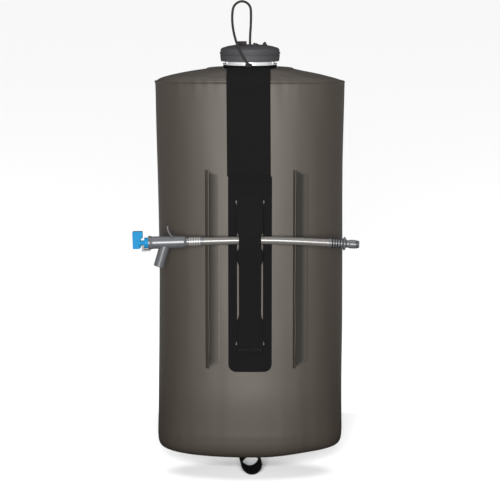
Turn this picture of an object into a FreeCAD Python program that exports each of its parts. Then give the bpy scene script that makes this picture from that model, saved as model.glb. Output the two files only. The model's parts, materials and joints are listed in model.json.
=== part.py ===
import FreeCAD, Part
import math
import os

Vector = FreeCAD.Vector

# Everything is in millimetres. The model is drawn with the bag's lowest point at z = 0 and the bag's
# axis on x = y = 0. save() then moves each piece, so that the point it hangs from is the origin.
HANG_POINT = Vector(-9.2, 0, 532.7)

# Bag: half widths along X and half depths along Y of its oval section, by height.
WALL = 1.2
SEAM_Z = 441.0
BASE_SEAM_Z = 24.0
WALL_SECTIONS = [
    (24, 110.1, 60),
    (95, 109, 58.9),
    (170, 108.4, 58.2),
    (260, 108.2, 58),
    (350, 108.8, 58.6),
    (441, 110.2, 60),
]
TOP_SECTIONS = [(441, 110.2, 60), (445.5, 101, 58.5), (450.2, 84, 56), (452.8, 71, 54), (455.5, 50.6, 50.5)]
BASE_SECTIONS = [(24, 110.1, 60), (12, 107.8, 58.6), (5, 102.5, 55), (1.5, 94, 49), (0, 80, 40)]

# Neck, thread and cap.
FLANGE_Z = 455.5
FLANGE_R = 49.0
NECK_R = 28.7
NECK_BORE_R = 26.2
NECK_TOP_Z = 469.5
RING_R = 31.4
CAP_R = 35.2
SKIRT_BOTTOM_Z = 465.2
SKIRT_BORE_R = 31.4
PLATE_Z = 471.1
PLATE_TOP_Z = 473.2
CEILING_Z = 481.4
DOME_TOP_Z = 483.6

# Filling port on the cap, right of the cord.
PORT_X = 12.5
PORT_R = 5.4
PORT_BORE_R = 3.5
POCKET_Z = 482.6
COVER_PIN = Vector(5.2, 0, 484.5)
SPRING_POST_X = -21.4

# Strap, panel and the band that holds the hose.
SKIN_GAP = 0.3
STRAP_HALF = 25.0
STRAP_T = 1.6
PANEL_Z = (108.0, 338.5)
PANEL_T = 1.5
SLIT_X = 14.9
SLIT_Z = (139.0, 309.0)
BAND_HALF = 14.3
BAND_T = 1.4

# Hose line.
HOSE_R = 4.5
HOSE_BORE_R = 3.2
HOSE_Y = -66.0
HOSE_ROUTE = [(-72.6, -1.6), (-30, -0.3), (14, 0.3), (59, -1.0), (104.2, -3.7)]
HOSE_Z = 263.5
BARREL_R = 7.1

# Cords.
TETHER_D = 2.8
TETHER_ROUTE = [
    (-1.5, -35.6, 461.5),
    (-6.6, -38.2, 469),
    (-12.6, -37.6, 480),
    (-17.2, -31.5, 492.5),
    (-20, -21, 505),
    (-20.8, -11, 518),
    (-19.2, -3.5, 529.8),
    (-9.2, -0.8, 535.5),
    (0.6, 0, 529.8),
    (1.3, 0, 518),
    (0.9, 0, 505),
    (0, 0, 493),
    (0, 0.1, 481),
]

# Base loop.
LOOP_R = 12.0
LOOP_T = 1.7
LOOP_WIDTH = 38.0
LOOP_PIVOT_Z = -2.6
LOOP_YAW = 4.0
PATCH_T = 0.6

os.makedirs("parts", exist_ok=True)


def save(name, shape):
    """Write one node, moved so that the hang point is the origin."""
    moved = shape.copy()
    moved.translate(HANG_POINT.negative())
    moved.exportStep("parts/" + name + ".step")
    extent = moved.BoundBox
    print(name, moved.isValid(), len(moved.Solids), round(extent.XLength, 1), round(extent.ZLength, 1))


def box(x, y, z):
    """A box between two values on each axis."""
    corner = Vector(x[0], y[0], z[0])
    return Part.makeBox(x[1] - x[0], y[1] - y[0], z[1] - z[0], corner)


def cylinder(radius, low, high, x=0.0, y=0.0):
    """An upright cylinder from one height to another."""
    return Part.makeCylinder(radius, high - low, Vector(x, y, low))


def pipe(outer, inner, low, high, x=0.0, y=0.0):
    """An upright tube from one height to another."""
    return cylinder(outer, low, high, x, y).cut(cylinder(inner, low - 1, high + 1, x, y))


def x_cylinder(radius, left, right, y=0.0, z=0.0):
    """A cylinder along X."""
    return Part.makeCylinder(radius, right - left, Vector(left, y, z), Vector(1, 0, 0))


def x_pipe(outer, inner, left, right):
    """A tube along X, on the X axis."""
    return x_cylinder(outer, left, right).cut(x_cylinder(inner, left - 1, right + 1))


def face_of(points):
    """A flat face with straight sides."""
    corners = [Vector(*p) for p in points]
    return Part.Face(Part.makePolygon(corners + corners[:1]))


def turned(outline):
    """A solid of revolution about Z from (radius, height) points."""
    face = face_of([(r, 0, z) for r, z in outline])
    return face.revolve(Vector(0, 0, 0), Vector(0, 0, 1), 360)


def x_turned(outline):
    """A solid of revolution about X from (x, radius) points."""
    face = face_of([(x, 0, r) for x, r in outline])
    return face.revolve(Vector(0, 0, 0), Vector(1, 0, 0), 360)


def ring(radius, thickness, centre, axis):
    """An O-ring."""
    return Part.makeTorus(radius, thickness, centre, axis)


def oval(z, half_width, half_depth):
    """An oval wire across the bag."""
    curve = Part.Ellipse(Vector(0, 0, z), half_width, half_depth)
    return Part.Wire(curve.toShape())


def loft(sections, grow=0.0, lift=0.0, ruled=False):
    """A solid through oval sections, grown sideways and lifted."""
    wires = [oval(z + lift, a + grow, b + grow) for z, a, b in sections]
    return Part.makeLoft(wires, True, ruled)


def wall_form(grow):
    """The bag's side, grown outwards."""
    return loft(WALL_SECTIONS, grow)


def on_wall(near, far):
    """The layer of space between two distances out from the bag's side."""
    return wall_form(far).cut(wall_form(near))


# Bag film ------------------------------------------------------------------------------------


def bag_wall():
    return wall_form(0).cut(wall_form(-WALL))


def top_panel():
    outer = loft(TOP_SECTIONS, ruled=True)
    inner = loft(TOP_SECTIONS, -WALL, -WALL, ruled=True)
    hole = cylinder(NECK_R + 0.05, SEAM_Z - 5, FLANGE_Z + 5)
    return outer.cut(inner).cut(hole)


def base_panel():
    outer = loft(BASE_SECTIONS, ruled=True)
    inner = loft(BASE_SECTIONS, -WALL, WALL, ruled=True)
    return outer.cut(inner)


# Neck ----------------------------------------------------------------------------------------


def bag_neck():
    bead_z = FLANGE_Z + 5.7
    neck = cylinder(NECK_R, FLANGE_Z - 4, NECK_TOP_Z)
    neck = neck.fuse(cylinder(FLANGE_R, FLANGE_Z, FLANGE_Z + 1.5))
    neck = neck.fuse(cylinder(RING_R + 0.2, bead_z, bead_z + 1.3))
    for z in (465.6, 467.6):
        thread = turned([(NECK_R - 1, z - 0.8), (30.6, z - 0.3), (30.6, z + 0.3), (NECK_R - 1, z + 0.8)])
        neck = neck.fuse(thread)
    for angle in (27, 153, 207, 333):
        x = 29.6 * math.cos(math.radians(angle))
        y = 29.6 * math.sin(math.radians(angle))
        neck = neck.fuse(cylinder(1.1, bead_z, SKIRT_BOTTOM_Z - 0.4, x, y))
    return neck.cut(cylinder(NECK_BORE_R, FLANGE_Z - 10, NECK_TOP_Z + 5)).removeSplitter()


# Strap and panel -----------------------------------------------------------------------------


def neck_strap():
    """A band up the front of the bag, over its shoulder, to a ring round the neck."""
    low = FLANGE_Z + 1.6
    under = [(-28, low), (-51, low), (-53.9, 454.6), (-56.9, 451), (-59.2, 446), (-60.3, 440.8)]
    over = [(-62.0, 440.8), (-60.9, 446.6), (-58.3, 452), (-55, 456)]
    over += [(-51.5, low + STRAP_T), (-28, low + STRAP_T)]
    shoulder = face_of([(-STRAP_HALF, y, z) for y, z in under + over]).extrude(Vector(2 * STRAP_HALF, 0, 0))
    front = box((-STRAP_HALF, STRAP_HALF), (-80, 0), (PANEL_Z[1], SEAM_Z))
    front = front.common(on_wall(SKIN_GAP, SKIN_GAP + STRAP_T))
    band = front.fuse(shoulder)
    band = band.fuse(cylinder(RING_R, low, FLANGE_Z + 5.6))
    return band.cut(cylinder(NECK_R + 0.4, low - 5, FLANGE_Z + 20)).removeSplitter()


def lash_panel():
    """The die-cut panel under the hose, open between its two slits."""
    low, high = PANEL_Z
    outline = box((-25.1, 25.1), (-80, 0), (low, high))
    corners = [e for e in outline.Edges if abs(e.BoundBox.YLength - 80) < 0.1]
    outline = outline.makeFillet(8.9, [e for e in corners if e.BoundBox.ZMax < 200])
    upper = [e for e in outline.Edges if e.BoundBox.ZMin > 300 and abs(e.BoundBox.YLength - 80) < 0.1]
    outline = outline.makeFillet(4.6, upper)
    window = box((-SLIT_X, SLIT_X), (-90, 10), SLIT_Z)
    panel = outline.cut(window)
    for x in (-SLIT_X, SLIT_X):
        for z in SLIT_Z:
            panel = panel.cut(Part.makeCylinder(1.3, 100, Vector(x, -90, z), Vector(0, 1, 0)))
    return panel.common(on_wall(SKIN_GAP, SKIN_GAP + PANEL_T))


def hose_band():
    """The band sewn to the panel at both ends, standing off it over the hose."""
    flat = -59.95
    crest = HOSE_Y - HOSE_R - 0.5
    inner = [(SLIT_Z[1] + 8, flat - 0.35), (SLIT_Z[1] - 3, flat - 0.1)]
    inner += [(HOSE_Z + 7, crest), (HOSE_Z - 7, crest)]
    inner += [(HOSE_Z - 60, -63.6), (SLIT_Z[0] + 3, flat), (SLIT_Z[0] - 8, flat - 0.35)]
    outer = [(z, y - BAND_T) for z, y in reversed(inner)]
    side = face_of([(-BAND_HALF, y, z) for z, y in inner + outer])
    return side.extrude(Vector(2 * BAND_HALF, 0, 0))


# Lash fins -----------------------------------------------------------------------------------


def lash_fin(root_x, lean):
    """A welded foot, cut away at its ends, with a blade that stands out of the bag beside it."""
    low, high = 111.0, 343.0
    foot_width = 12.5
    foot_x = root_x + foot_width
    foot = face_of([(root_x, 0, low), (foot_x, 0, low + 9), (foot_x, 0, high - 6), (root_x, 0, high)])
    foot = foot.extrude(Vector(0, -90, 0))
    foot = foot.common(on_wall(SKIN_GAP, SKIN_GAP + 0.7))
    tip_x = root_x + lean
    blade = [(root_x, -49, low), (root_x + 1.1, -49, low), (tip_x + 1.1, -58.3, low), (tip_x, -58.3, low)]
    blade = face_of(blade).extrude(Vector(0, 0, high - low))
    blade = blade.cut(wall_form(SKIN_GAP))
    return foot.fuse(blade).removeSplitter()


# Base loop -----------------------------------------------------------------------------------


def base_loop_patch():
    patch = box((-30, 30), (-24, 24), (-PATCH_T, 0))
    corners = [e for e in patch.Edges if abs(e.BoundBox.ZLength - PATCH_T) < 0.01]
    return patch.makeFillet(8, corners)


def base_loop():
    """A webbing ring with its two ends sewn together into a short tab."""
    centre_z = -14.3
    start = Vector(0, -LOOP_WIDTH / 2, centre_z)
    along = Vector(0, 1, 0)
    loop = Part.makeCylinder(LOOP_R, LOOP_WIDTH, start, along)
    tab_low = centre_z + LOOP_R - 1
    tab = box((-LOOP_T, LOOP_T), (-LOOP_WIDTH / 2, LOOP_WIDTH / 2), (tab_low, LOOP_PIVOT_Z))
    loop = loop.fuse(tab)
    loop = loop.fuse(Part.makeCylinder(LOOP_T, LOOP_WIDTH, Vector(0, -LOOP_WIDTH / 2, LOOP_PIVOT_Z), along))
    loop = loop.cut(Part.makeCylinder(LOOP_R - LOOP_T, LOOP_WIDTH + 2, start - along, along))
    loop.rotate(Vector(0, 0, 0), Vector(0, 0, 1), LOOP_YAW)
    return loop.removeSplitter()


# Cap -----------------------------------------------------------------------------------------


def cap_body():
    """Skirt with its plate, through which the port passes."""
    outline = [(SKIRT_BORE_R, SKIRT_BOTTOM_Z), (34, SKIRT_BOTTOM_Z), (34.9, 472.4), (34.2, 472.6)]
    outline += [(34.2, PLATE_TOP_Z)]
    outline += [(0, PLATE_TOP_Z), (0, PLATE_Z), (SKIRT_BORE_R, PLATE_Z)]
    body = turned(outline)
    return body.cut(cylinder(PORT_R, 460, 480, PORT_X))


def cap_dome():
    """Domed cover with a hole for the cord, a pocket for the port's cover and a slot for the slider."""
    outside = [(CAP_R - 0.6, PLATE_TOP_Z), (CAP_R, 473.9), (CAP_R, 475.4), (34.3, 476.2), (34.3, 478.6)]
    outside += [(32.7, 480.3), (26, 482.4), (18.7, DOME_TOP_Z), (0, DOME_TOP_Z)]
    inside = [(0, CEILING_Z), (17, CEILING_Z), (25, 480.3), (31, 478.2), (32.4, 476), (32.4, PLATE_TOP_Z)]
    dome = turned(outside + inside)
    dome = dome.fuse(pipe(3.4, 1.7, CEILING_Z, DOME_TOP_Z + 0.9))
    dome = dome.cut(box((3.0, 21), (-5.3, 5.3), (POCKET_Z, 490)))
    dome = dome.cut(cylinder(PORT_R, 470, 490, PORT_X))
    for y in ((-7.3, -5.3), (5.3, 7.3)):
        dome = dome.fuse(box((3.6, 6.8), y, (POCKET_Z, 485.6)))
    pin = Part.makeCylinder(0.85, 20, COVER_PIN - Vector(0, 10, 0), Vector(0, 1, 0))
    dome = dome.cut(pin)
    dome = dome.cut(box((-13.2, -5.2), (-3.2, 3.2), (CEILING_Z - 1, 490)))
    dome = dome.fuse(box((SPRING_POST_X - 1.2, SPRING_POST_X), (-2, 2), (478.6, 481.5)))
    return dome.cut(cylinder(1.7, 470, 490)).removeSplitter()


def cap_gasket():
    return pipe(SKIRT_BORE_R - 0.3, NECK_BORE_R, NECK_TOP_Z + 0.05, PLATE_Z - 0.05)


def port_socket():
    """Tube with a seat for its valve and a groove for its ring."""
    low = 461.5
    tube = cylinder(PORT_R, low, POCKET_Z, PORT_X)
    tube = tube.cut(cylinder(PORT_BORE_R, 471.5, 490, PORT_X))
    tube = tube.cut(cylinder(4.4, low + 1.2, 471.6, PORT_X))
    tube = tube.cut(cylinder(2.4, low - 1, low + 2, PORT_X))
    return tube.cut(pipe(4.7, 1, 476.2, 477.8, PORT_X))


def port_o_ring():
    return ring(3.9, 0.75, Vector(PORT_X, 0, 477), Vector(0, 0, 1))


def port_valve():
    """The disc that closes the port from inside."""
    disc = cylinder(4.1, 469.4, 471.3, PORT_X)
    disc = disc.fuse(cylinder(1.2, 464.5, 469.5, PORT_X))
    return disc.fuse(cylinder(1.6, 471.2, 472.6, PORT_X)).removeSplitter()


def coil_sleeve(start, axis, length, radius, wire):
    """A plain sleeve with a coil spring's size."""
    outer = Part.makeCylinder(radius + wire, length, start, axis)
    return outer.cut(Part.makeCylinder(radius, length, start, axis))


def port_spring():
    return coil_sleeve(Vector(PORT_X, 0, 462.8), Vector(0, 0, 1), 6.5, 2.6, 0.6)


def port_cover():
    """Flat lid with a hinge knuckle at its left and a finger tab at its right."""
    lid = box((5.2, 20.2), (-4.8, 4.8), (482.9, 484.0))
    knuckle = Part.makeCylinder(1.6, 9.6, COVER_PIN - Vector(0, 4.8, 0), Vector(0, 1, 0))
    tab = [(14.8, 483.5), (14.9, 485.4), (16.6, 487.2), (18.2, 487.2), (20.0, 483.5)]
    tab = face_of([(x, -3, z) for x, z in tab])
    wedge = face_of([(5.2, -4.8, 483.5), (5.2, -4.8, 486.0), (8.6, -4.8, 485.2), (11.4, -4.8, 483.5)])
    lid = lid.fuse(knuckle)
    lid = lid.fuse(tab.extrude(Vector(0, 6, 0)))
    lid = lid.fuse(wedge.extrude(Vector(0, 9.6, 0)))
    pin_hole = Part.makeCylinder(0.9, 20, COVER_PIN - Vector(0, 10, 0), Vector(0, 1, 0))
    return lid.cut(pin_hole).removeSplitter()


def port_cover_pin():
    return Part.makeCylinder(0.85, 14.6, COVER_PIN - Vector(0, 7.3, 0), Vector(0, 1, 0))


def release_slider():
    """Thumb block on the dome, with a stem through its slot to the latch plate beneath."""
    block = box((-14.7, -3.8), (-5.5, 5.5), (DOME_TOP_Z + 0.25, 487.9))
    edges = [e for e in block.Edges if e.BoundBox.ZMin > 487]
    block = block.makeFillet(0.8, edges)
    stem = box((-11.5, -6.0), (-2.9, 2.9), (480.0, 485))
    plate = box((-13.4, 8.7), (-5.6, 5.6), (479.9, 481.1))
    hole = box((-4.2, 5.4), (-3.9, 3.9), (478, 482))
    plate = plate.cut(hole).cut(cylinder(PORT_R + 0.3, 470, 490, PORT_X))
    return block.fuse(stem).fuse(plate).removeSplitter()


def release_spring():
    return coil_sleeve(Vector(SPRING_POST_X + 0.1, 0, 479.9), Vector(1, 0, 0), 7.8, 0.45, 0.25)


# Hose line -----------------------------------------------------------------------------------


def cord_path(points):
    """Straight runs joined by tangent arcs, as large as the runs allow."""
    edges = []
    at = points[0]
    radii = []
    for before, corner, after in zip(points, points[1:], points[2:]):
        come = (corner - before).normalize()
        go = (after - corner).normalize()
        turn = come.getAngle(go)
        shorter = min((corner - before).Length, (after - corner).Length)
        reach = 0.45 * shorter
        radii.append(round(reach / math.tan(turn / 2), 1))
        start = corner - come * reach
        end = corner + go * reach
        inward = (go - come).normalize()
        apex = reach / math.cos(turn / 2) if turn > 1e-6 else reach
        radius = reach / math.tan(turn / 2)
        middle = corner + inward * (radius / math.cos(turn / 2) - radius)
        edges.append(Part.LineSegment(at, start).toShape())
        edges.append(Part.Arc(start, middle, end).toShape())
        at = end
    edges.append(Part.LineSegment(at, points[-1]).toShape())
    print("arc radii", radii)
    return Part.Wire(edges)


def cord_tube(points, radius):
    """A round tube along a path, with a check of its volume."""
    path = cord_path(points)
    heading = points[1] - points[0]
    section = Part.Wire(Part.Circle(points[0], heading, radius).toShape())
    tube = path.makePipeShell([section], True, False)
    share = tube.Volume / (math.pi * radius ** 2 * path.Length)
    print("cord length", round(path.Length, 1), "volume share", round(share, 4))
    return tube


def hose_points():
    return [Vector(x, HOSE_Y, HOSE_Z + dz) for x, dz in HOSE_ROUTE]


def hose_end(shape, end, inner):
    """Place a fitting, drawn along X with the hose's end at x = 0, on that end of the hose."""
    heading = end - inner
    tilt = -math.degrees(math.atan(heading.z / heading.x))
    placed = shape.copy()
    placed.rotate(Vector(0, 0, 0), Vector(0, 1, 0), tilt)
    placed.translate(end)
    return placed


def at_left(shape):
    points = hose_points()
    return hose_end(shape, points[0], points[1])


def at_right(shape):
    points = hose_points()
    return hose_end(shape, points[-1], points[-2])


def drink_hose():
    outer = cord_tube(hose_points(), HOSE_R)
    return outer.cut(cord_tube(hose_points(), HOSE_BORE_R))


def hose_collar_left():
    """Clamp sleeve with windows between its ribs, over the hose's end."""
    sleeve = x_pipe(5.3, HOSE_R, 1.6, 17.0)
    for i in range(5):
        x = 2.8 + 2.8 * i
        sleeve = sleeve.cut(x_pipe(7, 4.95, x, x + 1.5))
    return sleeve


def hose_ferrule_left():
    return x_pipe(4.95, HOSE_R, 17.4, 19.6)


def valve_body():
    """Barrel with a spout branch, a barb for the hose and an arm round the stem's collar."""
    outline = [(-43.8, 0), (-43.8, 8.1), (-42.6, 8.1), (-39, 7.2), (-14, BARREL_R), (-3, 6.7), (0, 5.4), (0, 0)]
    body = x_turned(outline)
    body = body.fuse(x_cylinder(3.15, 0, 12))
    spout = Part.makeCylinder(5.9, 27.5, Vector(-24.2, 0, 0), Vector(-0.31, 0, -0.95))
    body = body.fuse(spout)
    arm = box((-51.6, -42), (-4, 4), (-9.3, -7.3))
    arm = arm.fuse(box((-51.6, -48.9), (-4, 4), (-9.3, -2.0)))
    arm = arm.cut(x_cylinder(3.5, -60, -43))
    body = body.fuse(arm)
    body = body.cut(x_cylinder(4.6, -60, -12).common(box((-43.9, -12), (-10, 10), (-10, 10))))
    body = body.cut(x_cylinder(2.1, -13, 20))
    bore = Part.makeCylinder(4.2, 40, Vector(-24.2, 0, 0), Vector(-0.31, 0, -0.95))
    return body.cut(bore).removeSplitter()


def hang_hook():
    """A thin curved prong that stands on the barrel."""
    points = [(-16.6, -3.2, 6.6), (-19.2, -3.6, 10.4), (-21, -3.8, 14.4), (-21.2, -3.8, 19)]
    points = [Vector(*point) for point in points]
    prong = cord_tube(points, 0.9)
    foot = Part.makeCylinder(1.7, 1.6, Vector(-16.4, -3.1, 6.0), Vector(0, -0.42, 0.9))
    return prong.fuse(foot).cut(x_cylinder(BARREL_R + 0.1, -40, 0)).removeSplitter()


def valve_stem():
    """Turning stem with its collar, a cross hole and two grooves."""
    stem = x_cylinder(4.55, -43.4, -15)
    stem = stem.fuse(x_cylinder(6.2, -48.5, -44.1))
    stem = stem.fuse(x_cylinder(4.55, -44.2, -43.3))
    stem = stem.fuse(x_cylinder(3.0, -58, -48.4))
    for x in (-37, -17.6):
        stem = stem.cut(x_pipe(6, 3.7, x, x + 1.8))
    stem = stem.cut(x_cylinder(2.6, -30, -14))
    return stem.cut(Part.makeCylinder(3, 20, Vector(-26, 0, 0), Vector(0, 0, -1))).removeSplitter()


def stem_o_rings():
    rings = [ring(4.13, 0.4, Vector(x, 0, 0), Vector(1, 0, 0)) for x in (-36.1, -16.7)]
    return Part.Compound(rings)


def valve_handle():
    """Flat paddle with a return block at its top."""
    paddle = box((-61.9, -53.6), (-3.6, 3.6), (-6.3, 13.6))
    block = box((-57, -50.2), (-3.6, 3.6), (5.4, 13.6))
    handle = paddle.fuse(block)
    handle = handle.removeSplitter()
    edges = [e for e in handle.Edges if abs(e.BoundBox.YLength - 7.2) < 0.01]
    handle = handle.makeFillet(1.0, edges)
    handle = handle.fuse(x_pipe(5.4, 3.0, -55, -52.6))
    return handle.cut(x_cylinder(3.0, -58, -40)).removeSplitter()


def spout_tip():
    """A short liner in the spout's mouth."""
    lip = Part.makeCylinder(5.9, 1.6, Vector(0, 0, 0), Vector(-0.31, 0, -0.95))
    lip = lip.fuse(Part.makeCylinder(4.2, 6, Vector(0, 0, 0), Vector(0.31, 0, 0.95)))
    lip = lip.cut(Part.makeCylinder(3.4, 40, Vector(6, 0, 18.4), Vector(-0.31, 0, -0.95)))
    out = Vector(-0.31, 0, -0.95).normalize() * 27.5
    lip.translate(Vector(-24.2, 0, 0) + out)
    return lip.removeSplitter()


def hose_collar_right():
    """Clamp sleeve with five ribs over the hose's end."""
    sleeve = x_pipe(4.95, HOSE_R, -14, 1.2)
    for i in range(5):
        x = -13.4 + 2.9 * i
        sleeve = sleeve.fuse(x_pipe(5.4, HOSE_R, x, x + 1.5))
    return sleeve.removeSplitter()


def plug_body():
    """Flange, waist and plug of the push-in connector, with a barb in the hose."""
    outline = [(1.6, 0), (1.6, 5.2), (3.6, 7.8), (4.6, 7.8), (6.0, 5.4), (6.6, 4.4), (9.2, 4.4), (10, 5.0)]
    outline += [(16.6, 5.0), (17, 4.4), (17.3, 4.4), (17.3, 3.9), (19.2, 3.9), (19.2, 4.4), (20.5, 4.2)]
    outline += [(21.1, 3.6), (21.1, 0)]
    plug = x_turned(outline)
    plug = plug.fuse(x_cylinder(3.15, -12, 2))
    return plug.cut(x_cylinder(2.1, -20, 30)).removeSplitter()


def plug_o_ring():
    return ring(4.44, 0.53, Vector(18.25, 0, 0), Vector(1, 0, 0))


# Cords ---------------------------------------------------------------------------------------


def tether_cord():
    return cord_tube([Vector(*p) for p in TETHER_ROUTE], TETHER_D / 2)


def tether_knot():
    """The knot on the strap's ring, drawn as a rounded lump."""
    lump = cylinder(3.4, 459.0, 463.4, -1.5, -35.6)
    return lump.makeFillet(1.4, lump.Edges)


def tether_stop_knot():
    return cylinder(3.0, 477.6, TETHER_ROUTE[-1][2])


save("bag_wall", bag_wall())
save("top_panel", top_panel())
save("base_panel", base_panel())
save("bag_neck", bag_neck())
save("neck_strap", neck_strap())
save("lash_panel", lash_panel())
save("hose_band", hose_band())
save("lash_fin_left", lash_fin(-51.9, 4.2))
save("lash_fin_right", lash_fin(49.6, 2.4))
save("base_loop_patch", base_loop_patch())
save("base_loop", base_loop())
save("cap_body", cap_body())
save("cap_dome", cap_dome())
save("cap_gasket", cap_gasket())
save("port_socket", port_socket())
save("port_o_ring", port_o_ring())
save("port_valve", port_valve())
save("port_spring", port_spring())
save("port_cover", port_cover())
save("port_cover_pin", port_cover_pin())
save("release_slider", release_slider())
save("release_spring", release_spring())
save("drink_hose", drink_hose())
save("hose_collar_left", at_left(hose_collar_left()))
save("hose_ferrule_left", at_left(hose_ferrule_left()))
save("valve_body", at_left(valve_body()))
save("hang_hook", at_left(hang_hook()))
save("valve_stem", at_left(valve_stem()))
save("stem_o_rings", at_left(stem_o_rings()))
save("valve_handle", at_left(valve_handle()))
save("spout_tip", at_left(spout_tip()))
save("hose_collar_right", at_right(hose_collar_right()))
save("plug_body", at_right(plug_body()))
save("plug_o_ring", at_right(plug_o_ring()))
save("tether_cord", tether_cord())
save("tether_knot", tether_knot())
save("tether_stop_knot", tether_stop_knot())
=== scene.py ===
# %% [markdown]
# # Hydration bladder
# A soft water bladder that hangs from a cord loop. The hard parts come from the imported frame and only
# get better materials. The soft parts, which are the film bag, the webbing, the hose and the cord,
# are built here around the frame's plain solids. Sizes are in millimetres, measured from the bag's
# axis and its lowest point, and `at` turns them into metres in the frame.

# %% Load the frame and note its size
import bpy
import json
import math
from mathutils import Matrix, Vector, noise


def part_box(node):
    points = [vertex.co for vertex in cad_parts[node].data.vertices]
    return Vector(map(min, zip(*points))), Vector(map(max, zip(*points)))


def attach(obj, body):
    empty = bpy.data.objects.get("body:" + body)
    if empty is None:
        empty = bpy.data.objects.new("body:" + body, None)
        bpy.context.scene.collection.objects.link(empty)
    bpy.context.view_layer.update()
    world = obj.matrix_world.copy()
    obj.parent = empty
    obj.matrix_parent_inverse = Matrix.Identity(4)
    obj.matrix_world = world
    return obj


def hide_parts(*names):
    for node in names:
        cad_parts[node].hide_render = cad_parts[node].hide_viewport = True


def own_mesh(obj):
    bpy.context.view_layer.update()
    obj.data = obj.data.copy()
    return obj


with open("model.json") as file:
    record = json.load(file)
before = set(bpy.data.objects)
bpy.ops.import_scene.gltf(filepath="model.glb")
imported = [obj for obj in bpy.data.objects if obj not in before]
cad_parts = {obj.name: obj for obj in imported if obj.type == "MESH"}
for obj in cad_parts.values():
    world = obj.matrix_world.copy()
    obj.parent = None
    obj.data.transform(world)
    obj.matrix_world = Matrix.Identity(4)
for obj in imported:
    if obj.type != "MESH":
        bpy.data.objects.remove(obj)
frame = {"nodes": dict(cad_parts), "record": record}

scene = bpy.context.scene
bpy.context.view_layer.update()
wall_low, wall_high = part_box("bag_wall")
AXIS_X = (wall_low.x + wall_high.x) / 2
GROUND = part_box("base_panel")[0].z


def at(x, y, z):
    """A point given in millimetres from the bag's axis and its lowest point."""
    return Vector((AXIS_X + x / 1000, y / 1000, GROUND + z / 1000))


print("bag axis", round(AXIS_X, 4), "lowest point", round(GROUND, 4))

# %% [markdown]
# ## Camera
# A product picture is taken from far away with a long lens, which keeps a tall object's sides nearly
# parallel. This camera stands 2.2 m in front, above the middle of the bag, and looks slightly down.
# It could be aimed with a tracking constraint, but a fixed turn is simpler to read.

# %% Place the camera
camera_data = bpy.data.cameras.new("camera")
camera_data.sensor_width = 36
camera_data.lens = 135.4
camera = bpy.data.objects.new("camera", camera_data)
camera.location = at(0, -2200, 575)
camera.rotation_euler = (math.radians(90 - 8.6), 0, 0)
scene.collection.objects.link(camera)
scene.camera = camera
print("camera at", [round(v, 3) for v in camera.location])

# %% [markdown]
# ## Cords
# The tether is a braided cord that is tied to the neck, stands up as a loop and ends inside the cap.
# The hose is a stiff tube that crosses the front. Each could be swept as a mesh, but a NURBS line
# with a round bevel stays smooth and keeps its length. The control points are the route that the CAD
# source uses, in metres.

# %% Draw the tether and the hose
TETHER = [
    (-0.0015, -0.0356, 0.4615), (-0.0066, -0.0382, 0.469), (-0.0126, -0.0376, 0.480),
    (-0.0172, -0.0315, 0.4925), (-0.020, -0.021, 0.505), (-0.0208, -0.011, 0.518),
    (-0.0192, -0.0035, 0.5298), (-0.0092, -0.0008, 0.5355), (0.0006, 0, 0.5298),
    (0.0013, 0, 0.518), (0.0009, 0, 0.505), (0, 0, 0.493), (0, 0.0001, 0.481),
]
HOSE = [
    (-0.0726, -0.066, 0.2619), (-0.030, -0.066, 0.2632), (0.014, -0.066, 0.2638),
    (0.059, -0.066, 0.2625), (0.1042, -0.066, 0.2598),
]


def cord(name, route, radius):
    """A round cord on one NURBS spline."""
    curve = bpy.data.curves.new(name, "CURVE")
    curve.dimensions = "3D"
    curve.bevel_depth = radius
    curve.bevel_resolution = 8
    curve.resolution_u = 20
    spline = curve.splines.new("NURBS")
    spline.points.add(len(route) - 1)
    for point, (x, y, z) in zip(spline.points, route):
        point.co = (AXIS_X + x, y, GROUND + z, 1)
    spline.order_u = 3
    spline.use_endpoint_u = True
    made = bpy.data.objects.new(name, curve)
    scene.collection.objects.link(made)
    return made


tether = cord("tether_braid", TETHER, 0.0014)
hose = cord("drink_tube", HOSE, 0.0045)
hose.data.use_fill_caps = False
print("cords", tether.name, hose.name)

# %% [markdown]
# ## Tools for meshes and materials
# Most soft pieces here are skins over rings of points, so one function makes their faces and another
# turns points into an object. Colours are given as screen values and turned into linear ones in one
# place. Weaves are sized from their real pitch in millimetres, so they look right from any distance.

# %% Tools for meshes


def skin_faces(rings, around, joined=False):
    """Four-sided faces between rings of points, and from the last ring to the first where joined."""
    faces = []
    for r in range(rings if joined else rings - 1):
        after = (r + 1) % rings
        for i in range(around):
            j = (i + 1) % around
            faces.append((r * around + i, after * around + i, after * around + j, r * around + j))
    return faces


def new_object(name, points, faces, material, smooth=True):
    """A mesh object with one material."""
    mesh = bpy.data.meshes.new(name)
    mesh.from_pydata(points, [], faces)
    if smooth:
        mesh.shade_smooth()
    mesh.materials.append(material)
    made = bpy.data.objects.new(name, mesh)
    scene.collection.objects.link(made)
    return made


print("mesh tools ready")

# %% Tools for materials


def linear(code):
    """A screen colour such as #4a4541 as linear red, green, blue and alpha."""
    values = [int(code[i:i + 2], 16) / 255 for i in (1, 3, 5)]
    return [v / 12.92 if v <= 0.04045 else ((v + 0.055) / 1.055) ** 2.4 for v in values] + [1.0]


def add(material, kind, **inputs):
    """Add one node and set its inputs, which are values or other nodes' outputs."""
    node = material.node_tree.nodes.new(kind)
    for name, value in inputs.items():
        socket = node.inputs[name.replace("_", " ")]
        if isinstance(value, bpy.types.NodeSocket):
            material.node_tree.links.new(value, socket)
        else:
            socket.default_value = value
    return node


def make(name, code, roughness, **inputs):
    """A new material with one Principled shader, and that shader."""
    material = bpy.data.materials.new(name)
    material.use_nodes = True
    shader = material.node_tree.nodes["Principled BSDF"]
    shader.inputs["Base Color"].default_value = linear(code)
    shader.inputs["Roughness"].default_value = roughness
    for key, value in inputs.items():
        shader.inputs[key.replace("_", " ")].default_value = value
    return material, shader


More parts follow.
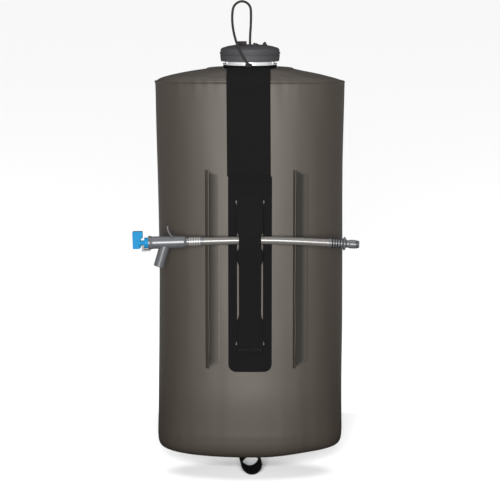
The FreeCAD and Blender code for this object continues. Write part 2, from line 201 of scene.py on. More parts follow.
def bump(material, shader, height, depth_mm):
    """Raise the surface by a pattern that runs from 0 to 1."""
    node = add(material, "ShaderNodeBump", Strength=1.0, Distance=depth_mm / 1000, Height=height)
    material.node_tree.links.new(node.outputs["Normal"], shader.inputs["Normal"])


def wave_scale(pitch_mm):
    """The Wave texture's scale for a pitch, as it draws one wave every 2 pi / 20 units."""
    return 2 * math.pi / 20 / (pitch_mm / 1000)


def crossed_waves(material, coordinates, across_mm, along_mm):
    """Two sets of ridges at right angles, multiplied into a weave."""
    first = add(material, "ShaderNodeTexWave", Vector=coordinates, Scale=wave_scale(across_mm))
    second = add(material, "ShaderNodeTexWave", Vector=coordinates, Scale=wave_scale(along_mm))
    second.bands_direction = "Y"
    mixed = add(material, "ShaderNodeMath")
    mixed.operation = "MULTIPLY"
    material.node_tree.links.new(first.outputs["Fac"], mixed.inputs[0])
    material.node_tree.links.new(second.outputs["Fac"], mixed.inputs[1])
    return mixed.outputs[0]


print("material tools ready")

# %% [markdown]
# ## Film
# The bag is smoke-tinted TPU film, welded at its seams. Its satin face gives a soft, faintly warm
# sheen, and most of what the eye sees of it is that sheen. A clear film with dark water behind it
# would be nearer to the real thing, but it would need far more light rays for the same look.

# %% Film materials
FILM_SMOKE = "#201b17"
FILM_SHEEN = "#fffbf2"
FILM_LEVEL = 0.4
FILM_ROUGHNESS = 0.62
GRAIN_MM = 30


def welded_film(name, code, roughness):
    """Heat-welded TPU film, with the slight unevenness of a calendered sheet."""
    sheen = {"Specular_IOR_Level": FILM_LEVEL, "Specular_Tint": linear(FILM_SHEEN)}
    material, shader = make(name, code, roughness, **sheen)
    place = add(material, "ShaderNodeTexCoord").outputs["Object"]
    grain = add(material, "ShaderNodeTexNoise", Vector=place, Scale=1 / (GRAIN_MM / 1000), Detail=3.0)
    bump(material, shader, grain.outputs["Fac"], 0.25)
    return material


film = welded_film("welded_tpu_film_smoke", FILM_SMOKE, FILM_ROUGHNESS)
fin_film = welded_film("doubled_tpu_film_smoke", "#1c1814", 0.55)


def foot_film_with_painted_shade(name, shade_mm, end_mm):
    """A double layer welded to the bag, with the blade's shadow painted on it: dark and dull beside the
    blade, fading into the single film's colour and gloss.
    """
    sheen = {"Specular_IOR_Level": FILM_LEVEL, "Specular_Tint": linear(FILM_SHEEN)}
    material, shader = make(name, FILM_SMOKE, FILM_ROUGHNESS, **sheen)
    texture = add(material, "ShaderNodeTexCoord").outputs["UV"]
    across = add(material, "ShaderNodeSeparateXYZ", Vector=texture)
    fade = add(material, "ShaderNodeMapRange", Value=across.outputs["X"])
    fade.inputs["From Min"].default_value = shade_mm / 1000
    fade.inputs["From Max"].default_value = end_mm / 1000
    shade = add(material, "ShaderNodeMix")
    shade.data_type = "RGBA"
    shade.inputs[6].default_value = linear("#080706")
    shade.inputs[7].default_value = linear(FILM_SMOKE)
    material.node_tree.links.new(fade.outputs["Result"], shade.inputs[0])
    material.node_tree.links.new(shade.outputs[2], shader.inputs["Base Color"])
    gloss = add(material, "ShaderNodeMapRange", Value=fade.outputs["Result"])
    gloss.inputs["To Min"].default_value = 0.95
    gloss.inputs["To Max"].default_value = FILM_ROUGHNESS
    material.node_tree.links.new(gloss.outputs["Result"], shader.inputs["Roughness"])
    return material


# Each foot carries the painted shadow of its blade, wider beside the right blade.
painted_shade_foot_left = foot_film_with_painted_shade("welded_foot_film_painted_shade_left", 5, 17)
painted_shade_foot_right = foot_film_with_painted_shade("welded_foot_film_painted_shade_right", 9.5, 17)
print("film materials", film.name, fin_film.name, painted_shade_foot_left.name)

# %% [markdown]
# ## Webbing and cord
# The strap is woven nylon, whose yarns make a fine check of ridges. The tether is a round braid,
# whose yarns cross it at 45 degrees. Both could be modelled yarn by yarn. Two crossed waves of the
# yarns' own pitch give the same relief from far fewer faces.

# %% Webbing and cord materials
TETHER_LENGTH = 0.153
TETHER_GIRTH = 0.0088
DARK_YARN = "#080706"
LIGHT_YARN = "#2a2521"

webbing, webbing_shader = make("woven_nylon_black", "#070707", 0.85, Specular_IOR_Level=0.05)
webbing_uv = add(webbing, "ShaderNodeTexCoord").outputs["UV"]
bump(webbing, webbing_shader, crossed_waves(webbing, webbing_uv, 0.9, 0.7), 0.12)

thread, _ = make("sewing_thread_black", "#141415", 0.7, Specular_IOR_Level=0.2)

braid, braid_shader = make("braided_cord_charcoal", "#1c1917", 0.75, Specular_IOR_Level=0.2)
braid_uv = add(braid, "ShaderNodeTexCoord").outputs["UV"]
turned = add(braid, "ShaderNodeMapping", Vector=braid_uv)
turned.inputs["Scale"].default_value = (TETHER_LENGTH, TETHER_GIRTH, 1)
turned.inputs["Rotation"].default_value = (0, 0, math.radians(45))
weave = crossed_waves(braid, turned.outputs["Vector"], 1.25, 1.25)
bump(braid, braid_shader, weave, 0.35)
shades = add(braid, "ShaderNodeMix")
shades.data_type = "RGBA"
shades.inputs[6].default_value = linear(DARK_YARN)
shades.inputs[7].default_value = linear(LIGHT_YARN)
braid.node_tree.links.new(weave, shades.inputs[0])
braid.node_tree.links.new(shades.outputs[2], braid_shader.inputs["Base Color"])
print("soft materials", webbing.name, thread.name, braid.name)

# %% [markdown]
# ## Plastic, rubber and steel
# The neck and the tube let some light through, the cap and fittings are moulded and opaque, and the
# blue valve is a duller acetal. A flat face that looks at the key light mirrors it, so the blue and
# the dark parts are kept rough. The parts could each get their own finish, but the record already
# says which slot each one has.

# %% Plastic, rubber and steel materials
CLEAR = {"IOR": 1.5}
neck_clear, _ = make("moulded_ldpe_clear", "#b9bbbb", 0.35, Transmission_Weight=0.5, **CLEAR)
tube_look = {"Transmission_Weight": 0.3, "Specular_IOR_Level": 0.2, **CLEAR}
tube_clear, _ = make("extruded_tpu_tube", "#4c4a47", 0.3, **tube_look)
fitting_grey, _ = make("moulded_abs_smoke", "#363739", 0.33, Specular_IOR_Level=0.25)
valve_blue, _ = make("moulded_acetal_blue", "#0a5072", 0.6, Specular_IOR_Level=0.06)
seal_rubber, _ = make("moulded_silicone_black", "#0b0b0b", 0.6, Specular_IOR_Level=0.15)
port_plastic, _ = make("moulded_acetal_dark", "#3a3837", 0.55, Specular_IOR_Level=0.2)
cap_dark, _ = make("moulded_nylon_dark", "#171413", 0.75, Specular_IOR_Level=0.1)
steel, _ = make("drawn_spring_steel", "#c9c9c7", 0.25, Metallic=1.0)

cap_grey, cap_shader = make("moulded_polypropylene_grey", "#28282a", 0.62, Specular_IOR_Level=0.11)
cap_place = add(cap_grey, "ShaderNodeTexCoord").outputs["Object"]
CAP_GRAIN_MM = 0.6
cap_grain = add(cap_grey, "ShaderNodeTexNoise", Vector=cap_place, Scale=1000 / CAP_GRAIN_MM)
bump(cap_grey, cap_shader, cap_grain.outputs["Fac"], 0.03)

MATERIAL_OF_SLOT = {
    "neck_clear": neck_clear, "cap_grey": cap_grey, "cap_dark": cap_dark, "seal_rubber": seal_rubber,
    "port_plastic": port_plastic, "steel": steel, "fitting_grey": fitting_grey, "valve_blue": valve_blue,
}
painted = 0
for part in frame["record"]["subparts"]:
    material = MATERIAL_OF_SLOT.get(part["material_slot"])
    if material:
        frame["nodes"][part["node"]].data.materials.clear()
        frame["nodes"][part["node"]].data.materials.append(material)
        painted += 1
frame["nodes"]["port_cover_pin"].data.materials[0] = cap_dark
tether.data.materials.append(braid)
hose.data.materials.append(tube_clear)
print("hard parts painted", painted)

# %% [markdown]
# ## Bag
# The bag is one skin of rings: over the neck's flange, down the domed top to the welded seam, down
# the side and under the base. The side is an oval, a little narrower at mid height. The top seam
# rises towards the front, where the strap pulls it up, and small puckers run away from both seams. A
# cloth simulation under pressure could find this shape, but a full bag is taut, and rings keep its
# size exact.

# %% Shape of the bag
SEAM_Z = 441.0
BASE_Z = 24.0
TOP_RINGS = [
    (457.12, 32.5, 32.5), (457.12, 41, 41), (457.12, 49.7, 49.7), (456.2, 50.9, 50.7),
    (454.9, 57.5, 51.3), (452.6, 71, 53.2), (450.2, 83, 55.4), (447.9, 92.5, 57.4),
    (445.5, 101, 58.6), (443.4, 106.2, 59.3), (442.4, 108.6, 59.7),
]
SEAM_RINGS = [
    (442.3, 110.0, 60.6), (441.9, 110.6, 61.0), (440.4, 110.6, 61.0),
    (439.9, 110.3, 60.4), (438.5, 110.2, 60),
]
SIDE_HIGH, SIDE_LOW = 437.5, 28
BASE_RINGS = [
    (26, 110.1, 55.0), (22, 110.0, 54.4), (17, 109.7, 53.5), (12, 108.9, 52.2),
    (8, 107.2, 50.6), (5, 104.2, 48.6), (3, 99.6, 46.4), (1.5, 94, 43.8),
    (0.5, 87, 40.4), (0.05, 78, 35), (0, 45, 20), (0, 4, 2),
]


def smoothed(value, low, high):
    """0 below low, 1 above high and a smooth step between them."""
    t = min(1.0, max(0.0, (value - low) / (high - low)))
    return t * t * (3 - 2 * t)


def side_size(z):
    """Half width and half depth of the bag's side at a height."""
    bow = ((z - 230) / 210) ** 2
    tucked = 6.0 * (1 - smoothed(z, 0, 85))
    return 108.2 + 2.0 * bow, 58 + 1.95 * bow - tucked


def between(rings, steps):
    """Rings with smooth ones added between them (a Catmull-Rom line through the given ones)."""
    made = []
    padded = [rings[0]] + rings + [rings[-1]]
    for p0, p1, p2, p3 in zip(padded, padded[1:], padded[2:], padded[3:]):
        for step in range(steps):
            t = step / steps
            ring = []
            for a, b, c, d in zip(p0, p1, p2, p3):
                bend = (a - 2.5 * b + 2 * c - d / 2) * t * t
                ring.append(b + (c - a) * t / 2 + bend + (1.5 * (b - c) + (d - a) / 2) * t ** 3)
            made.append(tuple(ring))
    return made + [rings[-1]]


def lean(z):
    """Sideways shift of the film: the dome leans left, the middle of the side a little right."""
    side = 1.2 * math.exp(-((z - 200) / 90) ** 2)
    return side - 3.6 * smoothed(z, 440, 448) * (1 - smoothed(z, 453, 456.5))


def rise(angle, x, z):
    """How far the film is raised: at the front of the top seam, and low on the right."""
    front = max(0.0, -math.sin(angle)) ** 1.5
    strap_pull = 3.4 * front * smoothed(z, 395, 440) * (1 - smoothed(z, 442, 453))
    return strap_pull + 3.2 * smoothed(x, 15, 80) * (1 - smoothed(z, 8, 50))


def unevenness(angle, x, z):
    """Outward bulge of the film in millimetres, calm under the strap."""
    round_bag = angle * 85
    wide = noise.noise(Vector((round_bag / 38, z / 120, 1.7)))
    tall = noise.noise(Vector((round_bag / 15, z / 75, 5.1)))
    near_top = math.exp(-abs(SEAM_Z - z) / 9)
    near_base = math.exp(-abs(BASE_Z - z) / 10)
    pucker = noise.noise(Vector((round_bag / 7, z / 30, 9.3)))
    bulge = 0.75 * wide + 0.3 * tall + 0.8 * pucker * (near_top + 0.25 * near_base)
    fold = noise.noise(Vector((angle * 5.5, 3.3, z / 60)))
    bulge += 1.1 * fold * smoothed(z, 443, 449) * (1 - smoothed(z, 453, 456))
    calm = smoothed(abs(x), 24, 38) if math.sin(angle) < 0 else 1.0
    return bulge * calm * (1 - smoothed(z, 455, 456.5)) * smoothed(z, 0.3, 6)


def side_rings():
    """Rings every 3 mm down the side."""
    count = 137
    heights = [SIDE_HIGH + (SIDE_LOW - SIDE_HIGH) * i / count for i in range(count + 1)]
    return [(z, *side_size(z)) for z in heights]


def bag_skin(name, rings, around):
    """A mesh skin over oval rings, with the film's unevenness."""
    points = []
    for z, a, b in rings:
        for i in range(around):
            angle = 2 * math.pi * i / around
            x = a * math.cos(angle)
            y = b * math.sin(angle)
            out = unevenness(angle, x, z)
            shifted = x + out * math.cos(angle) + lean(z)
            points.append(at(shifted, y + out * math.sin(angle), z + rise(angle, x, z)))
    last = (len(rings) - 1) * around
    faces = skin_faces(len(rings), around)
    faces.append(tuple(last + i for i in reversed(range(around))))
    return new_object(name, points, faces, film)


BAG_RINGS = between(TOP_RINGS, 3) + SEAM_RINGS + side_rings() + between(BASE_RINGS, 3)
bag = bag_skin("film_bag", BAG_RINGS, 240)
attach(bag, "root")
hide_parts("bag_wall", "top_panel", "base_panel")
print("bag skin", len(bag.data.polygons), "faces")

# %% [markdown]
# ## Strap, panel and band
# The strap runs up the front, over the shoulder and under the neck's collar. The panel is die-cut
# with two slits, and the band between them stands off over the hose. Cloth could be draped here, but
# these pieces are pulled taut, so rows of points laid on the bag, then thickened and rounded, hold
# their shape better. The texture coordinates are real lengths in metres, so the weave keeps its
# pitch.

# %% Build the webbing


def ribbon(name, rows, thick_mm, material, keep=lambda row, column: True, edge_mm=0.45):
    """A thin sheet through rows of points, with texture coordinates in metres."""
    columns = len(rows[0])
    points = [point for row in rows for point in row]
    faces = []
    for r in range(len(rows) - 1):
        for c in range(columns - 1):
            if keep(r, c):
                low = r * columns + c
                faces.append((low, low + 1, low + columns + 1, low + columns))
    made = new_object(name, points, faces, material)
    along = [0.0]
    for before, after in zip(rows, rows[1:]):
        along.append(along[-1] + (after[columns // 2] - before[columns // 2]).length)
    widths = [0.0]
    middle = rows[len(rows) // 2]
    for before, after in zip(middle, middle[1:]):
        widths.append(widths[-1] + (after - before).length)
    layer = made.data.uv_layers.new(name="cloth")
    for loop in made.data.loops:
        row, column = divmod(loop.vertex_index, columns)
        layer.data[loop.index].uv = (widths[column], along[row])
    solid = made.modifiers.new("thickness", "SOLIDIFY")
    solid.thickness = thick_mm / 1000
    solid.offset = 0
    rounded = made.modifiers.new("edges", "BEVEL")
    rounded.width = edge_mm / 1000
    rounded.segments = 2
    rounded.limit_method = "ANGLE"
    rounded.angle_limit = math.radians(50)
    return made


def front_y(x, z, off):
    """Where the bag's front is at x, moved outwards."""
    a, b = side_size(z)
    return -(b + off) * math.sqrt(1 - (x / (a + off)) ** 2)


def strap_row(y, z, flat, half, centre):
    """One row of the strap. flat is 0 where it follows the side's curve and 1 where it lies level."""
    row = []
    for i in range(17):
        x = centre + half * (i / 8 - 1)
        level = min(z, SEAM_Z)
        drop = (front_y(x, level, 1.2) - front_y(0, level, 1.2)) * (1 - flat)
        row.append(at(x, y + drop, z))
    return row


STRAP_HALF = 25
STRAP_LOW, STRAP_HIGH = 336, 433
SHOULDER = between([
    (-61.7, 436), (-61.9, 441), (-61.7, 445.4), (-60.2, 449.7), (-57.2, 453.9),
    (-53.4, 457.0), (-48, 458.05), (-38, 458.1), (-30, 458.1),
], 3)
strap_rows = []
for i in range(34):
    z = STRAP_LOW + (STRAP_HIGH - STRAP_LOW) * i / 33
    strap_rows.append(strap_row(front_y(0, z, 1.25), z, 0.0, STRAP_HALF, -1.2 - 0.6 * i / 33))
for y, z in SHOULDER:
    strap_rows.append(strap_row(y, z, smoothed(z, 440, 456) * 0.8, STRAP_HALF, -1.8))
strap = ribbon("neck_strap_webbing", strap_rows, 1.5, webbing)

PANEL_LOW, PANEL_HIGH = 108.0, 338.5
PANEL_HALF = 25.1
LOW_CORNER, HIGH_CORNER = 8.9, 4.6
SLIT_X = 14.9
SLIT_END_R = 1.9
SLIT_LOW, SLIT_HIGH = 139.0, 309.0


def panel_half(z):
    """Half width of the panel at a height, less at its rounded corners."""
    corner = LOW_CORNER if z < 200 else HIGH_CORNER
    end = min(z - PANEL_LOW, PANEL_HIGH - z)
    if end >= corner:
        return PANEL_HALF
    return PANEL_HALF - corner + math.sqrt(max(0.0, corner ** 2 - (corner - end) ** 2))


def slit_edge(z):
    """Inner edge of the panel's rails, wider in the round ends of the slits."""
    near = min(abs(z - SLIT_LOW - SLIT_END_R), abs(z - SLIT_HIGH + SLIT_END_R))
    return SLIT_X + (math.sqrt(SLIT_END_R ** 2 - near ** 2) if near < SLIT_END_R else 0.0)


def panel_heights():
    """Heights that are close together at the corners and at the slits' ends."""
    steps = [PANEL_LOW + 9 * (i / 12) ** 2 for i in range(12)]
    steps += [117 + (138 - 117) * i / 7 for i in range(7)]
    steps += [SLIT_LOW + 0.28 * i for i in range(12)]
    steps += [142.5 + (305 - 142.5) * i / 54 for i in range(54)]
    steps += [SLIT_HIGH - 0.28 * i for i in range(12, -1, -1)]
    steps += [309.6 + (333.5 - 309.6) * i / 8 for i in range(8)]
    return steps + [333.5 + 5 * (1 - (1 - i / 9) ** 2) for i in range(10)]


heights = panel_heights()
panel_rows = []
for z in heights:
    half = panel_half(z)
    inner = slit_edge(z)
    xs = [-half + (half - inner) * i / 6 for i in range(6)]
    xs += [-inner + 2 * inner * i / 14 for i in range(15)]
    xs += [inner + (half - inner) * i / 6 for i in range(1, 7)]
    off = 1.2 + 1.6 * smoothed(z, 328, 338)
    panel_rows.append([at(x, front_y(x, z, off), z) for x in xs])


def in_panel(row, column):
    """The cells between the slits are left out, as the band lies there."""
    window = SLIT_LOW - 0.01 <= heights[row] < SLIT_HIGH - 0.01
    return not (window and 6 <= column < 20)


panel = ribbon("lash_panel_cut", panel_rows, 1.3, webbing, in_panel, 0.35)

BAND_LINE = between([
    (-61.3, 130), (-61.0, 140), (-61.6, 160), (-63.6, 190), (-67.4, 225), (-70.9, 248),
    (-71.7, 257), (-71.7, 269), (-70.5, 277), (-66.2, 292), (-62.0, 305), (-61.3, 317),
], 9)


def band_half(z):
    """Half width of the band, less in the two places where light shows beside it."""
    beside_hose = smoothed(z, 250, 255) * (1 - smoothed(z, 269, 274))
    below_hose = smoothed(z, 168, 175) * (1 - smoothed(z, 234, 241))
    return 15.1 - 2.3 * max(beside_hose, below_hose)


band_rows = []
for y, z in BAND_LINE:
    half = band_half(z)
    band_rows.append([at(half * (i / 6 - 1), y + 0.9 * (i / 6 - 1) ** 2 + 0.4, z) for i in range(13)])
band = ribbon("hose_band_webbing", band_rows, 1.3, webbing)

for piece, node in ((strap, "neck_strap"), (panel, "lash_panel"), (band, "hose_band")):
    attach(piece, "root")
    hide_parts(node)
print("webbing pieces", strap.name, panel.name, band.name)

# %% [markdown]
# ## Collar and stitches
# A rolled band of webbing lies round the neck and holds the strap. It could be a swept curve, but a
# skin over a closed outline lets its section be flat below and round above. The band between the
# slits is sewn down at both ends, with one row of stitches each.

# %% Collar round the neck and the stitches of the band


def ring_skin(name, outline, material, lumps=0.0):
    """A ring about the bag's axis from a closed outline of (radius, height), slightly lumpy."""
    around = 120
    points = []
    for i in range(around):
        angle = 2 * math.pi * i / around
        swell = lumps * noise.noise(Vector((angle * 6, 2.2, 0)))
        for r, z in outline:
            points.append(at((r + swell) * math.cos(angle), (r + swell) * math.sin(angle), z + swell / 2))
    return new_object(name, points, skin_faces(around, len(outline), joined=True), material)


COLLAR_OUTLINE = [
    (29.2, 457.4), (30.6, 457.2), (31.2, 457.7), (31.5, 458.6),
    (31.4, 459.8), (31.0, 460.7), (30.2, 461.05), (29.2, 460.9),
]
collar = ring_skin("neck_collar_webbing", COLLAR_OUTLINE, webbing, 0.25)
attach(collar, "root")

THREAD_RADIUS = 0.28
STITCH_LENGTH = 2.1
STITCH_PITCH = 3
stitches = []
for z in (134.5, 313.5):
    for i in range(9):
        x = STITCH_PITCH * (i - 4)
        bpy.ops.mesh.primitive_cylinder_add(
            vertices=10, radius=THREAD_RADIUS / 1000, depth=STITCH_LENGTH / 1000,
            location=at(x, front_y(x, z, 2.65), z), rotation=(0, math.pi / 2, 0))
        stitches.append(bpy.context.object)
stitch_count = len(stitches)
with bpy.context.temp_override(active_object=stitches[0], selected_editable_objects=stitches):
    bpy.ops.object.join()
sewing = stitches[0]
sewing.name = "band_stitches"
sewing.data.materials.append(thread)
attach(sewing, "root")
print("collar and", stitch_count, "stitches")

# %% [markdown]
# ## Collars of the hose
# The windows between the left collar's ribs show the pale tube beneath, so a clear sleeve fills them.
# The right collar's grooves are in shadow, so a dark sleeve lies in each of them. Cutting the collars
# deeper would do the same, but they belong to the CAD and keep their shape.

# %% Fill the collars' windows and grooves


def hose_ring(name, route, start, end, radius, material):
    """A thin sleeve round the hose, between two distances from the first point of a route."""
    nose, inner = (at(*(1000 * v for v in point)) for point in route[:2])
    heading = (inner - nose).normalized()
    bpy.ops.mesh.primitive_cylinder_add(
        vertices=64, radius=radius / 1000, depth=(end - start) / 1000, end_fill_type="NOTHING",
        location=nose + heading * (start + end) / 2000)
    sleeve = bpy.context.object
    sleeve.name = name
    sleeve.rotation_euler = heading.to_track_quat("Z", "Y").to_euler()
    sleeve.data.shade_smooth()
    sleeve.data.materials.append(material)
    return sleeve


lining_clear, _ = make("extruded_tpu_lining", "#5a5855", 0.3)
# Dark sleeves of painted shade lie in the right collar's grooves.
groove_painted_shade, _ = make("painted_groove_shade", "#0c0c0c", 0.8, Specular_IOR_Level=0.1)
lining = hose_ring("collar_lining_left", HOSE, 2.6, 16.4, 5.08, lining_clear)
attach(lining, "hose_line")
GROOVE_PITCH = 2.9
GROOVE_WIDTH = 1.3
GROOVE_R = 5.41
for i in range(4):
    start = 0.45 + GROOVE_PITCH * i
    name = "collar_groove_shade_right_%d" % (i + 1)
    groove = hose_ring(name, HOSE[::-1], start, start + GROOVE_WIDTH, GROOVE_R, groove_painted_shade)
    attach(groove, "hose_line")
print("lining and grooves", lining.name)

# %% [markdown]
# ## Lash fins
# Two fins of doubled film stand beside the panel, where gear can be lashed. Each has a foot welded
# flat to the bag and a blade that leans to the right and is cut back at its ends. A flat extrusion
# would look like plastic, so the blade's free edge is slightly wavy, as cut film is.

# %% Build the fins
FIN_LOW, FIN_HEIGHT = 111, 232
FIN_FRONT_Y = -58.3
FOOT_WIDTH = 17


def fin_blade(name, root_x, slope):
    """The standing blade, slightly wavy along its free edge."""
    rows = []
    for i in range(59):
        z = FIN_LOW + FIN_HEIGHT * i / 58
        ends = smoothed(i, 0, 5) * (1 - smoothed(i, 53, 58))
        row = []
        for k in range(7):
            t = k / 6
            wave = 0.7 * t * noise.noise(Vector((z / 34, root_x, 0)))
            x = root_x + 0.55 + slope * t ** 1.4 + wave
            foot_y = front_y(root_x, z, 0.2)
            reach = (FIN_FRONT_Y + 0.4 * t - foot_y) * (0.55 + 0.45 * ends)
            row.append(at(x, foot_y + reach * t, z))
        rows.append(row)
    return ribbon(name, rows, 1.1, fin_film, edge_mm=0.4)


def fin_foot(name, root_x, material):
    """The foot, welded to the bag beside the blade."""
    rows = []
    for i in range(117):
        z = FIN_LOW + FIN_HEIGHT * i / 116
        width = FOOT_WIDTH * min(1.0, (z - 110) / 9, (344 - z) / 7)
        row = []
        for k in range(9):
            x = root_x + 0.4 + width * k / 8
            row.append(at(x, front_y(x, z, 0.75), z))
        rows.append(row)
    return ribbon(name, rows, 0.4, material, edge_mm=0.12)


FINS = (("left", -51.9, 4.2, painted_shade_foot_left), ("right", 49.6, 2.4, painted_shade_foot_right))
for side, root_x, slope, foot_material in FINS:
    blade = fin_blade("lash_fin_blade_" + side, root_x, slope)
    foot = fin_foot("lash_fin_foot_" + side, root_x, foot_material)
    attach(blade, "root")
    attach(foot, "root")
    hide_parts("lash_fin_" + side)
print("fins built")

# %% [markdown]
# ## Base loop
# A short piece of webbing is folded into a ring and sewn under the base. It hangs a little to the
# right, turned by 4 degrees. A torus would be too round: real webbing is flat across and keeps a soft
# point where its ends meet, so the ring is drawn as its own line.

# %% Build the base loop
LOOP_LINE = between([
    (-1.0, -1.0), (-3.4, -3.2), (-8.8, -7.2), (-11.2, -13), (-9.2, -19.6), (-3.4, -24.6),
    (3.4, -25.4), (9.6, -21.6), (12.4, -14.6), (10.6, -7.8), (4.4, -3.4), (1.0, -1.0),
], 5)
LOOP_WIDTH = 38
yaw = math.radians(4)
loop_rows = []
for x, z in LOOP_LINE:
    row = []
    for i in range(15):
        y = LOOP_WIDTH * (i / 14 - 0.5)
        row.append(at(x * math.cos(yaw) - y * math.sin(yaw), x * math.sin(yaw) + y * math.cos(yaw), z))
    loop_rows.append(row)
loop = ribbon("base_loop_webbing", loop_rows, 1.6, webbing)
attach(loop, "base_loop")
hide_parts("base_loop")
print("loop rows", len(loop_rows))

# %% [markdown]
# ## Patch of the base loop
# The loop pulls on one place of the film, so a second layer is welded over that place to spread the
# load. It could be a plain slab. A pressed line inside its edge shows where the welding tool closed
# on it.

# %% Weld the loop's patch to the base
PATCH_HALF = (30, 24)
PATCH_CORNER = 8


def patch_ring(inset, z):
    """One ring of the patch: a rectangle with round corners that follows the film above it."""
    corner = PATCH_CORNER - inset
    points = []
    for quarter, (side_x, side_y) in enumerate([(1, 1), (-1, 1), (-1, -1), (1, -1)]):
        for step in range(9):
            angle = math.pi / 2 * (quarter + step / 8)
            x = side_x * (PATCH_HALF[0] - PATCH_CORNER) + corner * math.cos(angle)
            y = side_y * (PATCH_HALF[1] - PATCH_CORNER) + corner * math.sin(angle)
            points.append(at(x, y, z + rise(0, x, z)))
    return points


PATCH_RINGS = [
    (0, 0), (0, -0.4), (0.25, -0.6), (1.4, -0.6), (2.1, -0.3), (3.6, -0.3), (4.3, -0.6), (7.5, -0.6),
]
rings = [patch_ring(inset, z) for inset, z in PATCH_RINGS]
around = len(rings[0])
last = (len(rings) - 1) * around
faces = [tuple(range(around)), tuple(last + i for i in reversed(range(around)))]
faces += skin_faces(len(rings), around)
patch_points = [point for ring in rings for point in ring]
patch = new_object("base_patch_welded", patch_points, faces, fin_film, smooth=False)
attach(patch, "root")
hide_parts("base_loop_patch")
print("patch welded, with a pressed line inside its edge")

# %% [markdown]
# ## Knots
# The tether is tied to the neck's collar, and its other end has a stop knot inside the cap. A true
# knot's path could be traced, but at this size only its pulled-tight turns show, so each knot is a
# few tilted rings of the same cord.

KNOT_CORD_R = 1.2
COLLAR_TURNS = [(-0.8, 0, 0.2, 1.35, 0.5), (1.0, 0.2, -0.2, 1.45, -0.6), (0, -0.4, 0, 0.5, 0.1)]
STOP_TURNS = [(0, 0, 0.4, 0.12, 0.1), (0, 0, -0.45, -0.14, 0.05)]


def knot(name, centre, turns, radius):
    """Turns of cord pulled tight, each a tilted ring."""
    rings = []
    for dx, dy, dz, tilt_x, tilt_y in turns:
        bpy.ops.mesh.primitive_torus_add(
            location=at(centre[0] + dx, centre[1] + dy, centre[2] + dz), rotation=(tilt_x, tilt_y, 0),
            major_radius=radius / 1000, minor_radius=KNOT_CORD_R / 1000,
            major_segments=40, minor_segments=14)
        rings.append(bpy.context.object)
    with bpy.context.temp_override(active_object=rings[0], selected_editable_objects=rings):
        bpy.ops.object.join()
    rings[0].name = name
    rings[0].data.shade_smooth()
    rings[0].data.materials.append(braid)
    return rings[0]


collar_knot = knot("tether_knot_wraps", (-1.5, -34.9, 461.0), COLLAR_TURNS, 2.1)
stop_knot = knot("tether_stop_wraps", (0, 0, 479.4), STOP_TURNS, 1.7)
tied = ((tether, "tether_cord"), (collar_knot, "tether_knot"), (stop_knot, "tether_stop_knot"))
for piece, node in tied:
    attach(piece, "root")
    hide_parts(node)
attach(hose, "hose_line")
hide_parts("drink_hose")

# %% [markdown]
# ## Springs
# Two small coil springs work inside the cap: one closes the hose port's valve, the other pushes the
# release slider out. A curve with a bevel would be shorter to write, but a spring must shorten as its
# joint moves, and that needs a mesh. So each is a ring of wire carried round a helix.

# %% Wind the springs


def coil_spring(name, node, start, along, length, radius, wire, turns):
    """A coil of round wire from start, of the given length."""
    sides = 8
    steps_a_turn = 20
    steps = steps_a_turn * turns
    points = []
    for i in range(steps + 1):
        turn = 2 * math.pi * i / steps_a_turn
        reach = wire + (length - 2 * wire) * i / steps
        for k in range(sides):
            around = 2 * math.pi * k / sides
            out = radius + wire * math.cos(around)
            ahead = reach + wire * math.sin(around)
            offset = (ahead, out * math.cos(turn), out * math.sin(turn))
            if along == "z":
                offset = (offset[1], offset[2], offset[0])
            points.append(at(*[a + b for a, b in zip(start, offset)]))
    faces = [tuple(range(sides)), tuple(steps * sides + k for k in reversed(range(sides)))]
    faces += skin_faces(steps + 1, sides)
    spring = new_object(name, points, faces, steel)
    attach(spring, "cap")
    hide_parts(node)
    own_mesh(spring)


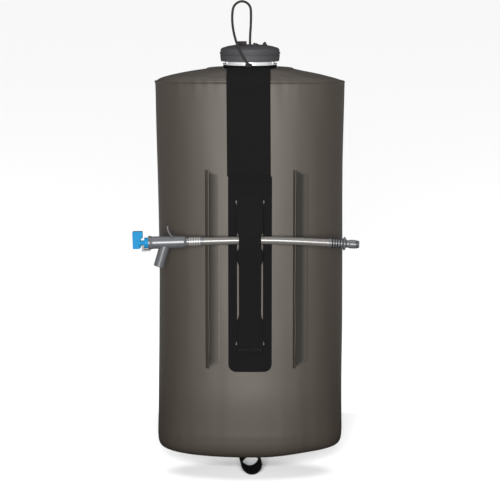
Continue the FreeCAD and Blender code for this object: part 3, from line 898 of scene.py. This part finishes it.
coil_spring("port_valve_coil", "port_spring", start=(12.5, 0, 462.8), along="z",
            length=6.5, radius=2.9, wire=0.28, turns=5)
coil_spring("release_coil", "release_spring", start=(-21.3, 0, 479.9), along="x",
            length=7.8, radius=0.575, wire=0.12, turns=10)
print("springs wound: port_valve_coil, release_coil")

# %% [markdown]
# ## Floor and lights
# The bladder hangs just over a plain pale floor. One soft light beside the camera draws the broad
# band down the middle of the film, and a soft sun from above and a dim white world fill the rest. The
# pale floor would light the film from below, which a dark sweep in a studio prevents, so a black card
# that the camera cannot see takes that light away.

# %% Light the scene
FLOOR_GAP = 0.0004
bpy.ops.mesh.primitive_plane_add(size=600, location=(AXIS_X, 0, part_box("base_loop")[0].z - FLOOR_GAP))
floor = bpy.context.object
floor.name = "floor"
paper, _ = make("matt_paper_white", "#f4f4f4", 0.9)
floor.data.materials.append(paper)

scene.world = bpy.data.worlds.new("studio")
scene.world.use_nodes = True
scene.world.node_tree.nodes["Background"].inputs["Color"].default_value = (1, 1, 1, 1)
scene.world.node_tree.nodes["Background"].inputs["Strength"].default_value = 0.16
scene.view_settings.view_transform = "Standard"


def soft_light(name, place, aim, width, height, watts):
    """A rectangular soft light that faces a point."""
    data = bpy.data.lights.new(name, "AREA")
    data.shape = "RECTANGLE"
    data.size = width
    data.size_y = height
    data.energy = watts
    light = bpy.data.objects.new(name, data)
    light.location = place
    light.rotation_euler = (Vector(aim) - Vector(place)).to_track_quat("-Z", "Y").to_euler()
    scene.collection.objects.link(light)


middle = at(0, 0, 240)
soft_light("key", (AXIS_X - 0.05, -1.9, middle.z + 0.25), middle + Vector((0, 0, 0.05)), 0.5, 0.75, 128)
sky = bpy.data.lights.new("ceiling", "SUN")
sky.energy = 2.9
sky.angle = math.radians(70)
ceiling = bpy.data.objects.new("ceiling", sky)
scene.collection.objects.link(ceiling)


felt, _ = make("felt_black", "#050505", 0.95, Specular_IOR_Level=0.0)
CARD_Z = -20
card_corners = [(-900, -1700), (900, -1700), (900, 300), (-900, 300)]
card = new_object("card_front", [at(x, y, CARD_Z) for x, y in card_corners], [(0, 1, 2, 3)], felt, False)
card.visible_camera = False
card.visible_shadow = False
print("floor at", round(floor.location.z, 4), "with a card over it")
